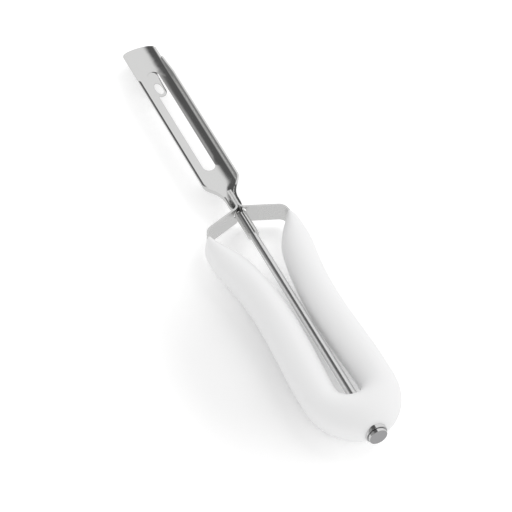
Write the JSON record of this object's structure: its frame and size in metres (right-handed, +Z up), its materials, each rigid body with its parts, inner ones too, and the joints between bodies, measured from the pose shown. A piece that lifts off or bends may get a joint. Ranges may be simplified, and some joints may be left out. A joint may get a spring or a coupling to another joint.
{
  "type": "vegetable peeler",
  "caption": "Swivel vegetable peeler with a slotted channel blade on a round shaft, carried in a bent steel band inside a soft white loop grip.",
  "frame": {"origin": "on the surface that the peeler rests on, under the middle of its overall box", "axes": "+Z up, +Y along the shaft towards the blade's tip, +X across the blade"},
  "size_m": [0.0342, 0.1878, 0.0138],
  "materials": {
    "blade_steel": "polished stainless sheet",
    "shaft_steel": "bright drawn rod",
    "turned_steel": "turned and polished",
    "band_steel": "tumbled strip",
    "grip_plastic": "satin white moulding"
  },
  "bodies": {
    "handle": {"frame_band": "band_steel", "grip": "grip_plastic", "tail_ferrule": "turned_steel"},
    "blade_unit": {"blade": "blade_steel", "shaft": "shaft_steel", "shaft_button": "turned_steel"}
  },
  "joints": [
    {"name": "blade_swivel", "type": "hinge", "parent": "handle", "child": "blade_unit", "pos_m": [0, -0.084, 0.007], "axis": [0, 1, 0], "range_deg": [-25, 25]}
  ]
}
